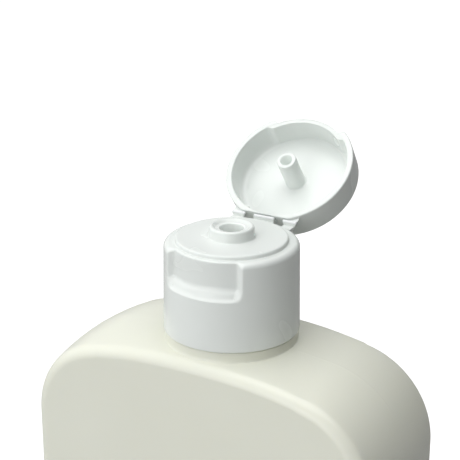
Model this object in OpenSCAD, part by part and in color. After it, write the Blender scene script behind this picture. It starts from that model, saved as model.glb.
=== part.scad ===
// Lotion bottle with a screw-on flip-top closure, standing on its base.
// The front faces -Y, the hinge of the lid is at +Y, and the origin is the centre of the base.
// The lid stands open, as it does when the bottle is about to be used.

/* [Bottle] */
// Width of the body, side to side
body_w = 88.5; // [60:0.5:120]
// Depth of the body, front to back
body_d = 35; // [34:0.5:60]
// Height from the base to the crown of the shoulder, at the neck
body_h = 140; // [90:1:220]
// Radius of the shallow dome that forms the shoulder
shoulder_r = 200; // [150:5:400]
// Radius of each shoulder corner, seen from the front
corner_r = 21.5; // [14:0.5:28]
// How far the sides and the roof bow out between the front and the back face
bow = 1.9; // [0.5:0.1:2.2]
// Radius of the long edges around the front and the back face
edge_r = 2.8; // [2.7:0.1:4]
// Radius of the edge around the base
heel_r = 2.5; // [1.9:0.1:2.6]
// Wall thickness of the blown body
body_wall = 1; // [0.7:0.1:1.8]
// Width of the standing ring around the hollow of the base
foot_w = 6; // [5:0.5:9]
// Depth of the hollow of the base
foot_depth = 1.5; // [0.5:0.25:3]
// Radius of the corners of that hollow
foot_corner = 6; // [3:0.5:8]

/* [Neck] */
// Outer diameter of the thread on the neck
thread_d = 24; // [22:0.1:28]
// How far the thread stands out from the neck
thread_depth = 1.1; // [0.9:0.05:1.2]
// Height of the neck, from the crown of the shoulder to the lip
neck_h = 19.5; // [17:0.5:24]
// Wall thickness of the neck between the threads
neck_wall = 1.9; // [1.5:0.1:3]
// Radius of the blend between the neck and the shoulder
neck_blend = 1.8; // [1:0.1:2]
// Radius of the lip's outer edge
lip_round = 0.5; // [0.2:0.1:0.8]
// Height of the bead's middle above the crown of the shoulder
bead_z = 2.9; // [2.7:0.1:3.2]
// How far the bead stands out from the neck
bead_out = 1.3; // [0.9:0.1:1.6]
// Height of the bead
bead_h = 1.6; // [1:0.1:1.8]

/* [Thread] */
// Rise of the thread in one turn
thread_pitch = 3.175; // [2.9:0.005:3.6]
// Turns of the thread on the neck
neck_turns = 1.5; // [1:0.25:1.75]
// Turns of the thread in the closure
closure_turns = 1.25; // [0.75:0.25:1.5]
// Width of a thread at its foot
thread_foot = 1.6; // [1.2:0.1:1.7]
// Width of a thread at its crest
thread_crest = 0.75; // [0.5:0.05:0.9]
// Distance from the lip down to the end of the neck's thread
thread_drop = 2.1; // [1.8:0.1:2.6]
// Radial clearance between the neck's thread and the collar's bore
bore_gap = 0.3; // [0.2:0.05:0.4]
// Radial clearance between the closure's thread and the neck
thread_gap = 0.35; // [0.2:0.05:0.45]

/* [Liner] */
// Thickness of the sealing ring
liner_t = 1; // [0.6:0.1:1.6]
// Width of the sealing ring, from its hole to its edge
liner_w = 6.3; // [4.5:0.1:7.5]
// Clearance between the ring's edge and the collar around it
liner_gap = 0.45; // [0.2:0.05:0.8]
// Clearance above and below the sealing ring
seat_gap = 0.05; // [0.02:0.01:0.1]

/* [Closure] */
// Wall thickness of the threaded collar, behind the thumb recess
collar_wall = 1.2; // [1:0.05:1.6]
// Widening of the skirt's radius from the ledge down to its lower edge
skirt_flare = 0.25; // [0:0.05:0.5]
// Wall thickness of the skirt
skirt_wall = 1; // [0.8:0.1:1.2]
// Clearance between the skirt's lower edge and the crown of the shoulder
skirt_gap = 2; // [1:0.25:4]
// Clearance between the collar's lower edge and the neck's bead
collar_gap = 1; // [0.5:0.25:3]
// Thickness of the plate at the ledge
plate_t = 1.4; // [1.3:0.1:2]
// Radius of the rounded edge outside the ledge
ledge_r = 1.3; // [0.6:0.1:1.4]
// Width of the ledge around the raised deck
ledge_w = 2.5; // [2.3:0.1:3]
// Height of the deck above the ledge
deck_h = 0.95; // [0.6:0.05:1.5]
// Diameter of the orifice
orifice_d = 5.4; // [5:0.1:6]
// Chamfer around the orifice's upper end
orifice_lip = 0.3; // [0.2:0.05:0.4]
// Width of the dished top around the orifice, up to the spout's rim
dish_w = 1.2; // [1:0.1:1.6]
// Depth of the dished top
dish_h = 0.5; // [0.3:0.1:0.6]
// Width of the spout's rounded rim
spout_rim = 1.1; // [0.8:0.1:1.4]
// Widening of the spout's radius from its rim down to its foot
spout_flare = 0.2; // [0.1:0.05:0.4]
// Height of the spout above the deck
spout_h = 2.5; // [1.5:0.1:3.5]

/* [Lid] */
// Height of the lid, from its rim to its flat top
lid_h = 7.5; // [6.5:0.25:9]
// How far the lid's rim stands out past the closure's ledge
lid_over = 0.3; // [0:0.05:0.5]
// Narrowing of the lid's radius from the rim up to its flat top
lid_draft = 0.25; // [0:0.05:0.5]
// Wall thickness of the lid at its rim
lid_wall = 1.45; // [1.1:0.05:1.6]
// Thickness of the lid's flat top
lid_top_t = 1.2; // [0.8:0.1:1.6]
// Radius of the edge around the lid's flat top
lid_edge_r = 1.2; // [0.8:0.1:1.6]
// Clearance between the lid's rim and the ledge when shut
rim_gap = 0.1; // [0.05:0.01:0.2]
// How far the stopper tube passes below the ledge when shut
tube_reach = 2; // [1.5:0.1:2.4]
// Clearance between the stopper tube and the orifice
tube_gap = 0.4; // [0.35:0.05:0.6]
// Wall thickness of the stopper tube
tube_wall = 0.9; // [0.6:0.1:1.3]
// Angle that the lid stands open
open_angle = 143.3; // [0:0.1:175]

/* [Thumb recess] */
// Width of the recess at the front
thumb_w = 17.2; // [14:0.2:19]
// Depth of the recess
thumb_depth = 1.5; // [1.2:0.05:1.6]
// How far the recess reaches below the ledge
thumb_down = 8.7; // [6:0.1:11]
// Radius of the recess's lower corners, seen from the front
thumb_corner = 1.6; // [0.8:0.1:3]
// Height of the slope at the foot of the recess
thumb_slope = 1.3; // [0.5:0.1:2]
// Clearance between the thin front wall of the lid and the deck
thumb_gap = 0.3; // [0.2:0.05:0.5]

/* [Hinge] */
// Distance from the closure's round side in to the hinge line
hinge_in = 0.42; // [0.3:0.02:0.6]
// Height of the hinge line above the ledge
hinge_up = 0.7; // [0.6:0.05:1]
// Distance from the hinge line in to the flat at the back of the closure and the lid
flat_in = 0.53; // [0.5:0.01:0.7]
// Clearance of each strap half from the hinge line
strap_gap = 0.05; // [0.04:0.01:0.1]
// Thickness of a strap half
strap_t = 0.36; // [0.3:0.02:0.38]
// Length of a strap half, along its wall
strap_l = 1.5; // [1.2:0.1:1.8]
// Width of the middle strap
mid_strap_w = 5.2; // [3:0.2:6]
// Distance from the middle to the near edge of each side strap
side_strap_in = 4.9; // [4:0.1:5.5]
// Width of each side strap
side_strap_w = 3.4; // [2.4:0.2:4]

/* [Hidden] */
$fn = 96;
BITE = 0.3;
FUZZ = 0.01;
FAR = 60;
SLICE = 0.05;
CORNER_FACETS = 64;
HOLLOW_FACETS = 48;
EDGE_STEPS = 6;
BOW_STEPS = 5;
HEEL_STEPS = 5;
ROOF_FACETS = 300;
SWEEP_STEPS = 36;
FADE_STEPS = 4;
FADE_LEAST = 0.05;

lip_z = body_h + neck_h;
liner_z = lip_z + seat_gap;
under_z = liner_z + liner_t + seat_gap;
ledge_z = under_z + plate_t;
deck_z = ledge_z + deck_h;
spout_z = deck_z + spout_h;
skirt_z = body_h + skirt_gap;
collar_z = body_h + bead_z + bead_h / 2 + collar_gap;
thread_z = lip_z - thread_drop - neck_turns * thread_pitch;
recess_z = ledge_z - thumb_down;

thread_r = thread_d / 2;
neck_r = thread_r - thread_depth;
neck_bore_r = neck_r - neck_wall;
collar_bore_r = thread_r + bore_gap;
closure_crest_r = neck_r + thread_gap;
thumb_r = collar_bore_r + collar_wall;
closure_r = thumb_r + thumb_depth;
deck_r = closure_r - ledge_w;
orifice_r = orifice_d / 2;
dish_r = orifice_r + dish_w;
tube_r = orifice_r - tube_gap;
lid_r = closure_r + lid_over;

hinge_y = closure_r - hinge_in;
hinge_z = ledge_z + hinge_up;
flat_y = hinge_y - flat_in;
side_strap_out = side_strap_in + side_strap_w;

plastic_white = [0.92, 0.94, 0.94];
body_cream = [0.93, 0.93, 0.87];
foam_white = [0.82, 0.84, 0.86];

// A rectangle whose four corners are round
module round_rect(w, d, r) {
    square([w - 2 * r, d], center = true);
    square([w, d - 2 * r], center = true);
    for (sx = [-1, 1], sy = [-1, 1])
        translate([sx * (w / 2 - r), sy * (d / 2 - r)])
            circle(r);
}

// A section d deep from radius rin out to a bowed side at rout, with a round edge at each end
module bowed_band(rin, rout, d, edge) {
    h = d / 2;
    bow_r = (pow(h, 2) + pow(bow, 2)) / (2 * bow);
    tilt = asin((h - edge) / (bow_r - edge));
    edge_x = rout - bow_r + (bow_r - edge) * cos(tilt);
    function on_bow(t) = [rout - bow_r + bow_r * cos(t), bow_r * sin(t)];
    function on_edge(s, t) = [edge_x + edge * cos(t), s * (h - edge + edge * sin(t))];
    polygon([
        [rin, edge - h],
        for (i = [EDGE_STEPS:-1:1]) on_edge(-1, tilt + (90 - tilt) * i / EDGE_STEPS),
        for (i = [-BOW_STEPS:BOW_STEPS]) on_bow(tilt * i / BOW_STEPS),
        for (i = [1:EDGE_STEPS]) on_edge(1, tilt + (90 - tilt) * i / EDGE_STEPS),
        [rin, h - edge]
    ]);
}

// The closed form of the body: bowed sides, a round heel, round shoulders and a domed roof
module body_form(w, d, h, roof, corner, edge, heel) {
    corner_x = w / 2 - corner;
    roof_z = h - roof;
    corner_z = roof_z + sqrt(pow(roof - corner, 2) - pow(corner_x, 2));
    meet = atan2(corner_z - roof_z, corner_x);
    roof_from = meet + 360 / ROOF_FACETS;
    hull() {
        for (side = [0, 1])
            mirror([side, 0, 0]) {
                for (i = [0:HEEL_STEPS]) {
                    inset = heel * (1 - sin(90 * i / HEEL_STEPS));
                    translate([0, 0, heel * (1 - cos(90 * i / HEEL_STEPS))])
                        linear_extrude(SLICE)
                            bowed_band(0, w / 2 - inset, d - 2 * inset, edge - inset);
                }
                translate([corner_x, 0, corner_z])
                    rotate([90, 0, 0])
                        rotate_extrude(angle = meet)
                            bowed_band(0, corner, d, edge);
            }
        translate([0, 0, roof_z])
            rotate([90, 0, 0])
                rotate([0, 0, roof_from])
                    rotate_extrude(angle = 180 - 2 * roof_from, $fn = ROOF_FACETS)
                        bowed_band(roof - corner, roof, d, edge);
    }
}

// The hollow under the base; grow makes it larger on every side
module base_hollow(grow) {
    inset = foot_w - grow;
    translate([0, 0, -1])
        linear_extrude(1 + foot_depth + grow)
            round_rect(body_w - 2 * inset, body_d - 2 * inset, foot_corner + grow);
}

// The space inside the body
module body_hollow() {
    t = body_wall;
    difference() {
        translate([0, 0, t])
            body_form(body_w - 2 * t, body_d - 2 * t, body_h - 2 * t, shoulder_r - t,
                      corner_r - t, edge_r - t, heel_r - t, $fn = HOLLOW_FACETS);
        base_hollow(t);
    }
}

// A ridge that climbs around the axis and fades out at both ends; its foot is sunk into a wall
module helix_ridge(foot_r, crest_r, turns) {
    steps = ceil(SWEEP_STEPS * turns);
    outward = foot_r < crest_r;
    sunk = foot_r + (outward ? -BITE : BITE);
    function keep(i) = max(FADE_LEAST, min(1, i / FADE_STEPS, (steps - i) / FADE_STEPS));
    function reach(i) = foot_r + (crest_r - foot_r) * keep(i);
    function section(i) = [
        [sunk, -thread_foot / 2],
        [reach(i), -thread_crest / 2],
        [reach(i), thread_crest / 2],
        [sunk, thread_foot / 2]
    ];
    points = [
        for (i = [0:steps], p = section(i))
            let (a = 360 * turns * i / steps)
            [p[0] * cos(a), p[0] * sin(a), p[1] + thread_pitch * turns * i / steps]
    ];
    order = outward ? [3, 2, 1, 0] : [0, 1, 2, 3];
    sides = [
        for (i = [0:steps - 1], k = [0:3])
            let (a = order[k], b = order[(k + 1) % 4])
            for (tri = [
                [4 * i + a, 4 * (i + 1) + b, 4 * i + b],
                [4 * i + a, 4 * (i + 1) + a, 4 * (i + 1) + b]
            ]) tri
    ];
    caps = [
        [for (k = [0:3]) order[k]],
        [for (k = [3:-1:0]) 4 * steps + order[k]]
    ];
    polyhedron(points = points, faces = concat(sides, caps));
}

// The turned form of the neck: blend, bead and lip; its foot lies in the roof of the body
module neck_form() {
    foot = body_h - 2.5 * body_wall;
    blend_x = neck_r + neck_blend;
    blend_z = body_h - bow * pow(2 * blend_x / body_d, 2) + neck_blend;
    bead_r = bead_h / 2;
    rotate_extrude()
        difference() {
            union() {
                translate([0, foot])
                    square([neck_r, lip_z - foot]);
                translate([0, foot])
                    square([blend_x, blend_z - foot]);
                translate([0, body_h + bead_z - bead_r])
                    square([neck_r + bead_out - bead_r, bead_h]);
                translate([neck_r + bead_out - bead_r, body_h + bead_z])
                    circle(bead_r);
            }
            translate([blend_x, blend_z])
                circle(neck_blend);
            translate([neck_r - lip_round, lip_z - lip_round])
                difference() {
                    square(2 * lip_round);
                    circle(lip_round);
                }
        }
}

module bottle() {
    color(body_cream)
        difference() {
            union() {
                body_form(body_w, body_d, body_h, shoulder_r, corner_r, edge_r, heel_r,
                          $fn = CORNER_FACETS);
                neck_form();
                translate([0, 0, thread_z])
                    helix_ridge(neck_r, thread_r, neck_turns);
            }
            body_hollow();
            translate([0, 0, body_h - 3 * body_wall])
                cylinder(h = FAR, r = neck_bore_r);
            base_hollow(0);
        }
}

module sealing_ring() {
    outer = collar_bore_r - liner_gap;
    color(foam_white)
        translate([0, 0, liner_z])
            difference() {
                cylinder(h = liner_t, r = outer);
                translate([0, 0, -1])
                    cylinder(h = liner_t + 2, r = outer - liner_w);
            }
}

// The space in front of the closure's axis that the thumb recess takes up, from z0 to z1
module thumb_zone(z0, z1, margin) {
    w = thumb_w + 2 * margin;
    corner = thumb_corner + margin;
    translate([0, 0, z0 - margin])
        rotate([90, 0, 0])
            linear_extrude(FAR) {
                translate([-w / 2, corner])
                    square([w, z1 - z0 + margin - corner]);
                translate([-w / 2 + corner, 0])
                    square([w - 2 * corner, z1 - z0 + margin]);
                for (s = [-1, 1])
                    translate([s * (w / 2 - corner), corner])
                        circle(corner);
            }
}

// What is cut from the closure's front: a concentric floor with a slope at its foot
module thumb_cut() {
    intersection() {
        thumb_zone(recess_z, ledge_z + FAR, 0);
        rotate_extrude()
            polygon([
                [thumb_r, ledge_z + FAR],
                [thumb_r, recess_z + thumb_slope],
                [closure_r + skirt_flare, recess_z],
                [closure_r + FAR, recess_z],
                [closure_r + FAR, ledge_z + FAR]
            ]);
    }
}

// What closes the skirt behind the thumb recess: a patch of wall, wider than the recess
module thumb_back() {
    intersection() {
        thumb_zone(recess_z, ledge_z - ledge_r, skirt_wall);
        rotate_extrude()
            translate([thumb_r - BITE, 0])
                square([closure_r - skirt_wall - thumb_r + 2 * BITE, ledge_z - ledge_r]);
    }
}

// The skirt, the collar, the plate and the deck, turned about the axis
module closure_form() {
    round_z = ledge_z - ledge_r;
    rotate_extrude() {
        polygon([
            [collar_bore_r, ledge_z],
            [collar_bore_r, under_z],
            [closure_r - skirt_wall, under_z],
            [closure_r + skirt_flare - skirt_wall, skirt_z],
            [closure_r + skirt_flare, skirt_z],
            [closure_r, round_z],
            [closure_r - ledge_r, round_z],
            [closure_r - ledge_r, ledge_z]
        ]);
        translate([closure_r - ledge_r, round_z])
            circle(ledge_r);
        translate([collar_bore_r, collar_z])
            square([collar_wall, ledge_z - collar_z]);
        translate([0, under_z])
            square([closure_r - ledge_r, plate_t]);
    }
    translate([0, 0, ledge_z - BITE])
        rotate_extrude() {
            square([deck_r - deck_h / 2, BITE + deck_h]);
            square([deck_r, BITE + deck_h / 2]);
            translate([deck_r - deck_h / 2, BITE + deck_h / 2])
                circle(deck_h / 2);
        }
}

// The spout: a short boss with a rounded rim and a dished top
module spout_form() {
    rim = spout_rim / 2;
    top = dish_r + spout_rim;
    top_z = BITE + spout_h;
    translate([0, 0, deck_z - BITE])
        rotate_extrude()
            difference() {
                union() {
                    polygon([
                        [0, 0],
                        [top + spout_flare, 0],
                        [top, top_z - rim],
                        [top - rim, top_z],
                        [0, top_z]
                    ]);
                    translate([top - rim, top_z - rim])
                        circle(rim);
                }
                translate([0, top_z - dish_h])
                    polygon([
                        [0, 0],
                        [dish_r - dish_h, 0],
                        [dish_r, dish_h + 1],
                        [0, dish_h + 1]
                    ]);
            }
}

// The outline of a strap half across the hinge, below the hinge line; its root starts root_z down
module strap_outline(reach, root_z) {
    inner = -strap_gap - strap_t;
    polygon([
        [-reach, -root_z],
        [inner, -root_z],
        [inner, -strap_gap],
        [-strap_gap, -strap_gap],
        [-strap_gap, -strap_l],
        [-flat_in, -strap_l - flat_in],
        [-reach, -strap_l - flat_in]
    ]);
}

// The three strap halves below the hinge line, which grow from a wall of that outer radius
module strap_halves(wall_r, root_z) {
    side_root_y = sqrt(pow(wall_r, 2) - pow(side_strap_out, 2)) - BITE;
    translate([0, hinge_y, hinge_z])
        rotate([90, 0, 90]) {
            linear_extrude(mid_strap_w, center = true)
                strap_outline(flat_in + BITE, root_z);
            for (side = [-1, 1])
                translate([0, 0, side * (side_strap_in + side_strap_w / 2)])
                    linear_extrude(side_strap_w, center = true)
                        strap_outline(hinge_y - side_root_y, root_z);
        }
}

// The half of each strap that grows from the closure
module closure_straps() {
    strap_halves(closure_r, hinge_up);
}

// The half of each strap that grows from the shut lid, the mirror image above the hinge line
module lid_straps() {
    difference() {
        translate([0, 0, 2 * hinge_z])
            mirror([0, 0, 1])
                strap_halves(lid_r, 2 * strap_gap);
        translate([0, 0, ledge_z])
            cylinder(h = lid_h, r = lid_r - lid_wall);
    }
}

module closure() {
    color(plastic_white)
        difference() {
            union() {
                closure_form();
                spout_form();
                thumb_back();
                closure_straps();
                translate([0, 0, thread_z - thread_pitch / 2])
                    helix_ridge(collar_bore_r, closure_crest_r, closure_turns);
            }
            thumb_cut();
            translate([0, 0, under_z - 1])
                cylinder(h = FAR, r = orifice_r);
            translate([0, 0, spout_z - dish_h - orifice_lip])
                cylinder(h = orifice_lip + FUZZ, r1 = orifice_r, r2 = orifice_r + orifice_lip + FUZZ);
            difference() {
                translate([-closure_r, flat_y, hinge_z - strap_l - flat_in])
                    cube([2 * closure_r, closure_r, FAR]);
                closure_straps();
            }
        }
}

// The lid as it lies when shut
module shut_lid() {
    rim_z = ledge_z + rim_gap;
    top_z = rim_z + lid_h;
    floor_z = top_z - lid_top_t;
    wall_in = lid_r - lid_wall;
    top_r = lid_r - lid_draft;
    tube_z = ledge_z - tube_reach;
    difference() {
        union() {
            difference() {
                rotate_extrude() {
                    polygon([
                        [0, rim_z],
                        [lid_r, rim_z],
                        [top_r, top_z - lid_edge_r],
                        [top_r - lid_edge_r, top_z - lid_edge_r],
                        [top_r - lid_edge_r, top_z],
                        [0, top_z]
                    ]);
                    translate([top_r - lid_edge_r, top_z - lid_edge_r])
                        circle(lid_edge_r);
                }
                difference() {
                    rotate_extrude()
                        polygon([
                            [0, rim_z - 1],
                            [wall_in, rim_z - 1],
                            [wall_in, rim_z],
                            [wall_in - lid_draft, floor_z],
                            [0, floor_z]
                        ]);
                    intersection() {
                        thumb_zone(recess_z, floor_z + BITE, lid_wall / 2);
                        difference() {
                            translate([0, 0, rim_z])
                                cylinder(h = lid_h, r = lid_r);
                            translate([0, 0, rim_z - 1])
                                cylinder(h = lid_h + 2, r = deck_r + thumb_gap);
                        }
                    }
                }
            }
            translate([0, 0, tube_z])
                cylinder(h = floor_z + BITE - tube_z, r = tube_r);
        }
        translate([0, 0, tube_z - 1])
            cylinder(h = floor_z + 1 - tube_z, r = tube_r - tube_wall);
        intersection() {
            thumb_zone(recess_z, floor_z, 0);
            rotate_extrude()
                translate([thumb_r, ledge_z - 1])
                    square([FAR, floor_z - ledge_z + 1]);
        }
        translate([-lid_r, flat_y, ledge_z - 1])
            cube([2 * lid_r, lid_r, lid_h + 3]);
    }
    lid_straps();
}

module lid() {
    color(plastic_white)
        translate([0, hinge_y, hinge_z])
            rotate([-open_angle, 0, 0])
                translate([0, -hinge_y, -hinge_z])
                    shut_lid();
}

bottle();
sealing_ring();
closure();
lid();
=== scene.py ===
"""Looks of a lotion bottle with a screw-on flip-top closure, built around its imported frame.

Every size is in millimetres until MM turns it into metres. The front faces -Y, the lid's hinge
is at +Y and the bottle stands on z = 0.
"""

import logging
import math
from dataclasses import dataclass, field, replace
from enum import Enum
from typing import Callable, Iterable, Sequence

import bmesh
import bpy
from mathutils import Matrix, Vector

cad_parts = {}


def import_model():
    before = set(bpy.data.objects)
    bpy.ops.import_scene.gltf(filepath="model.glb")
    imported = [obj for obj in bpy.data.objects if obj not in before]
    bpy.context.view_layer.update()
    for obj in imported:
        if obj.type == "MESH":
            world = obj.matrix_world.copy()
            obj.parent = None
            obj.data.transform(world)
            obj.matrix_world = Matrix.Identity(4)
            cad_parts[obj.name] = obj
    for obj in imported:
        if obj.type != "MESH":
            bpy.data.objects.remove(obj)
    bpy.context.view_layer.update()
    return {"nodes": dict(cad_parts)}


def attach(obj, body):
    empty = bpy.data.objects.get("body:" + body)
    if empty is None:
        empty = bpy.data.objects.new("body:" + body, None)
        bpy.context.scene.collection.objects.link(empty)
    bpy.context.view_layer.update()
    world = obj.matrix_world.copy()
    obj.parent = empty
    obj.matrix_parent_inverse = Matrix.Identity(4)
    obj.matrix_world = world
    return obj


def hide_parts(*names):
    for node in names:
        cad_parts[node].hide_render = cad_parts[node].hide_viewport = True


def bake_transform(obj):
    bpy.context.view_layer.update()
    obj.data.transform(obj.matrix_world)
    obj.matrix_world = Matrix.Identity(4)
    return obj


MM = 0.001
LOG = logging.getLogger("lotion_bottle")
MERGE_MM = 0.004  # vertices closer than this are merged
NEAR_MM = 0.01  # how close counts as being at a place
MARKS_MM = 15.0  # the size of one patch of handling marks

HINGE_Y, HINGE_Z = 14.58, 162.7  # the hinge line, which runs along X
OPEN_DEG = 143.3  # how far the lid swings from shut to open
FLAT_Y = 14.05  # the flat on the closure and the lid beside the hinge

Test = Callable[[Vector], bool]


class Slot(Enum):
    """The record's material slots."""

    BOTTLE = "bottle_plastic"
    CLOSURE = "closure_plastic"
    RING = "ring_foam"


class Body(Enum):
    """The bodies that the pieces ride on."""

    BOTTLE = "bottle"
    RING = "ring"
    CLOSURE = "closure"
    LID = "lid"


class Element(Enum):
    """The kinds of mesh element that can be picked in edit mode."""

    VERT = "VERT"
    EDGE = "EDGE"
    FACE = "FACE"


def smooth(low: float, high: float, value: float) -> float:
    """Eases from 0 to 1 as value goes from low to high.

    Args:
        low: Where the ease starts.
        high: Where it ends.
        value: The number to ease.

    Returns:
        A number from 0 to 1.
    """
    share = min(1.0, max(0.0, (value - low) / (high - low)))
    return share * share * (3 - 2 * share)


def mix(start: float, end: float, share: float) -> float:
    """Returns the number that lies the given share of the way from start to end."""
    return start + (end - start) * share


class Bench:
    """The modelling bench: adds a primitive, opens it and picks its elements by their place."""

    @staticmethod
    def clear() -> None:
        """Leaves edit mode and deselects everything."""
        if bpy.context.object and bpy.context.object.mode != "OBJECT":
            bpy.ops.object.mode_set(mode="OBJECT")
        bpy.ops.object.select_all(action="DESELECT")

    @staticmethod
    def choose(piece: bpy.types.Object) -> None:
        """Leaves edit mode, selects a piece alone and makes it active."""
        Bench.clear()
        bpy.context.view_layer.objects.active = piece
        piece.select_set(True)

    @staticmethod
    def open(piece: bpy.types.Object) -> None:
        """Selects a piece alone and opens it in edit mode."""
        Bench.choose(piece)
        bpy.ops.object.mode_set(mode="EDIT")

    @staticmethod
    def plane(name: str, width: float, height: float, middle: Sequence[float]) -> bpy.types.Object:
        """Adds an upright plane that faces -Y, with its place and size in its mesh.

        Args:
            name: The new piece's name.
            width: Its size along X, in millimetres.
            height: Its size along Z, in millimetres.
            middle: Its middle, in millimetres.

        Returns:
            The new piece, open in edit mode with all of it selected.
        """
        Bench.clear()
        bpy.ops.mesh.primitive_plane_add(
            size=1.0, location=[c * MM for c in middle], rotation=(math.pi / 2, 0, 0)
        )
        piece = bpy.context.object
        piece.name = piece.data.name = name
        piece.scale = (width * MM, height * MM, 1)
        bpy.ops.object.transform_apply(location=True, rotation=True, scale=True)
        Bench.open(piece)
        bpy.ops.mesh.select_mode(type=Element.VERT.value)
        bpy.ops.mesh.select_all(action="SELECT")
        return piece

    @staticmethod
    def pick(piece: bpy.types.Object, kind: Element, test: Test) -> None:
        """Selects the elements of one kind whose middle passes a test, and nothing else.

        Args:
            piece: The piece, open in edit mode.
            kind: The kind of element to select.
            test: Says of a point in millimetres whether its element is wanted.
        """
        bpy.ops.mesh.select_mode(type=kind.value)
        bpy.ops.mesh.select_all(action="DESELECT")
        mesh = bmesh.from_edit_mesh(piece.data)
        items = {Element.VERT: mesh.verts, Element.EDGE: mesh.edges, Element.FACE: mesh.faces}[kind]
        for item in items:
            if kind is Element.VERT:
                middle = item.co
            elif kind is Element.EDGE:
                middle = (item.verts[0].co + item.verts[1].co) / 2
            else:
                middle = item.calc_center_median()
            if test(middle / MM):
                item.select_set(True)
        bmesh.update_edit_mesh(piece.data)

    @staticmethod
    def push(by: Sequence[float]) -> None:
        """Moves what is selected by a distance in millimetres."""
        bpy.ops.transform.translate(value=[c * MM for c in by])

    @staticmethod
    def tidy() -> None:
        """Merges doubles and turns every face outwards."""
        bpy.ops.mesh.select_all(action="SELECT")
        bpy.ops.mesh.remove_doubles(threshold=MERGE_MM * MM)
        bpy.ops.mesh.normals_make_consistent(inside=False)

    @staticmethod
    def shape(piece: bpy.types.Object, move: Callable[[Vector], Vector]) -> None:
        """Moves every vertex of a piece to where a function in millimetres sends it."""
        for vertex in piece.data.vertices:
            vertex.co = move(vertex.co / MM) * MM
        piece.data.update()

    @staticmethod
    def apply(piece: bpy.types.Object, kind: str, **settings: object) -> None:
        """Adds a modifier to a piece and applies it.

        Args:
            piece: The piece, out of edit mode.
            kind: The modifier's type.
            **settings: The modifier's settings.
        """
        Bench.choose(piece)
        modifier = piece.modifiers.new(kind.title(), kind)
        for key, value in settings.items():
            setattr(modifier, key, value)
        bpy.ops.object.modifier_apply(modifier=modifier.name)

    @staticmethod
    def combine(piece: bpy.types.Object, tool: bpy.types.Object, operation: str) -> None:
        """Joins a closed tool to a piece, or cuts it out, and deletes the tool."""
        Bench.apply(piece, "BOOLEAN", object=tool, operation=operation, solver="EXACT")
        mesh = tool.data
        bpy.data.objects.remove(tool)
        bpy.data.meshes.remove(mesh)

    @staticmethod
    def finish(
        piece: bpy.types.Object, body: Body | None, slot: Slot, sharp: float = 32.0
    ) -> None:
        """Shades a piece smooth below an angle and gives it its body.

        Args:
            piece: The finished piece.
            body: The body that it rides on, or none where it is stretched between two.
            slot: Not used.
            sharp: The angle in degrees above which an edge stays sharp.
        """
        Bench.choose(piece)
        bpy.ops.object.shade_smooth_by_angle(angle=math.radians(sharp))
        Bench.apply(piece, "WEIGHTED_NORMAL", keep_sharp=True, weight=60)
        Bench.clear()
        if body:
            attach(piece, body.value)
        LOG.info("%s: %d faces", piece.name, len(piece.data.polygons))


def swing_open(piece: bpy.types.Object) -> None:
    """Swings a part of the lid from shut to open about the hinge line."""
    hinge = Vector((0, HINGE_Y, HINGE_Z)) * MM
    swing = Matrix.Rotation(math.radians(-OPEN_DEG), 4, "X")
    piece.data.transform(Matrix.Translation(hinge) @ swing @ Matrix.Translation(-hinge))


def coat(
    piece: bpy.types.Object, plastic: bpy.types.Material, glow: bpy.types.Material, lit: Test
) -> None:
    """Gives a piece its plastic, and the glowing one, which is painted light, to some faces.

    Args:
        piece: The piece.
        plastic: The material of most of it.
        glow: The glowing material, painted light that stands in for the light coming through the thin
            plastic.
        lit: Says of a face's middle in millimetres whether it gets the painted glow.
    """
    piece.data.materials.clear()
    piece.data.materials.append(plastic)
    piece.data.materials.append(glow)
    for face in piece.data.polygons:
        face.material_index = int(lit(face.center / MM))


class Lathe:
    """A turned piece: its profile is drawn from one vertex by extrude and spin, then spun round Z."""

    def __init__(self, name: str, r: float, z: float) -> None:
        """Starts a profile at radius r and height z, in millimetres."""
        self.piece = Bench.plane(name, 1, 1, (0, 0, 0))
        bpy.ops.mesh.merge(type="CENTER")
        Bench.push((r, 0, z))
        self.r, self.z = r, z

    def line(self, r: float, z: float, rows: int = 1) -> "Lathe":
        """Draws a straight line to radius r and height z, in the given number of rows."""
        step = Vector(((r - self.r) / rows, 0, (z - self.z) / rows)) * MM
        for _ in range(rows):
            bpy.ops.mesh.extrude_region_move(TRANSFORM_OT_translate={"value": step})
        self.r, self.z = r, z
        return self

    def arc(self, r: float, z: float, degrees: float, rows: int) -> "Lathe":
        """Draws an arc round the point at radius r and height z; a plus angle turns from +X to +Z."""
        bpy.ops.mesh.spin(
            steps=rows,
            angle=math.radians(degrees),
            center=(r * MM, 0, z * MM),
            axis=(0, 1, 0),
        )
        a = math.radians(degrees)
        x, y = self.r - r, self.z - z
        self.r = r + x * math.cos(a) - y * math.sin(a)
        self.z = z + x * math.sin(a) + y * math.cos(a)
        return self

    def turn(self, sectors: Iterable[tuple[float, int]] = ((360, 180),)) -> bpy.types.Object:
        """Spins the profile round the Z axis from +X towards +Y.

        Args:
            sectors: The angle in degrees and the number of steps of each sector, in order.

        Returns:
            The turned piece, out of edit mode.
        """
        bpy.ops.mesh.select_all(action="SELECT")
        for degrees, steps in sectors:
            bpy.ops.mesh.spin(
                steps=steps, angle=math.radians(degrees), center=(0, 0, 0), axis=(0, 0, -1)
            )
        Bench.tidy()
        Bench.clear()
        return self.piece


@dataclass
class Finish:
    """How light or dark, rough and marked one finish is."""

    colour: tuple[float, float, float]
    shade: tuple[float, float, float]
    roughness: float
    roughness_spread: float
    subsurface: float
    subsurface_radius: tuple[float, float, float]
    grain_mm: float
    grain_height_mm: float
    wave_mm: float
    wave_height_mm: float
    scuff: float
    # An emission in the finish's own colour: painted light, for surfaces that glow without a lamp.
    glow: float = 0.0


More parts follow.
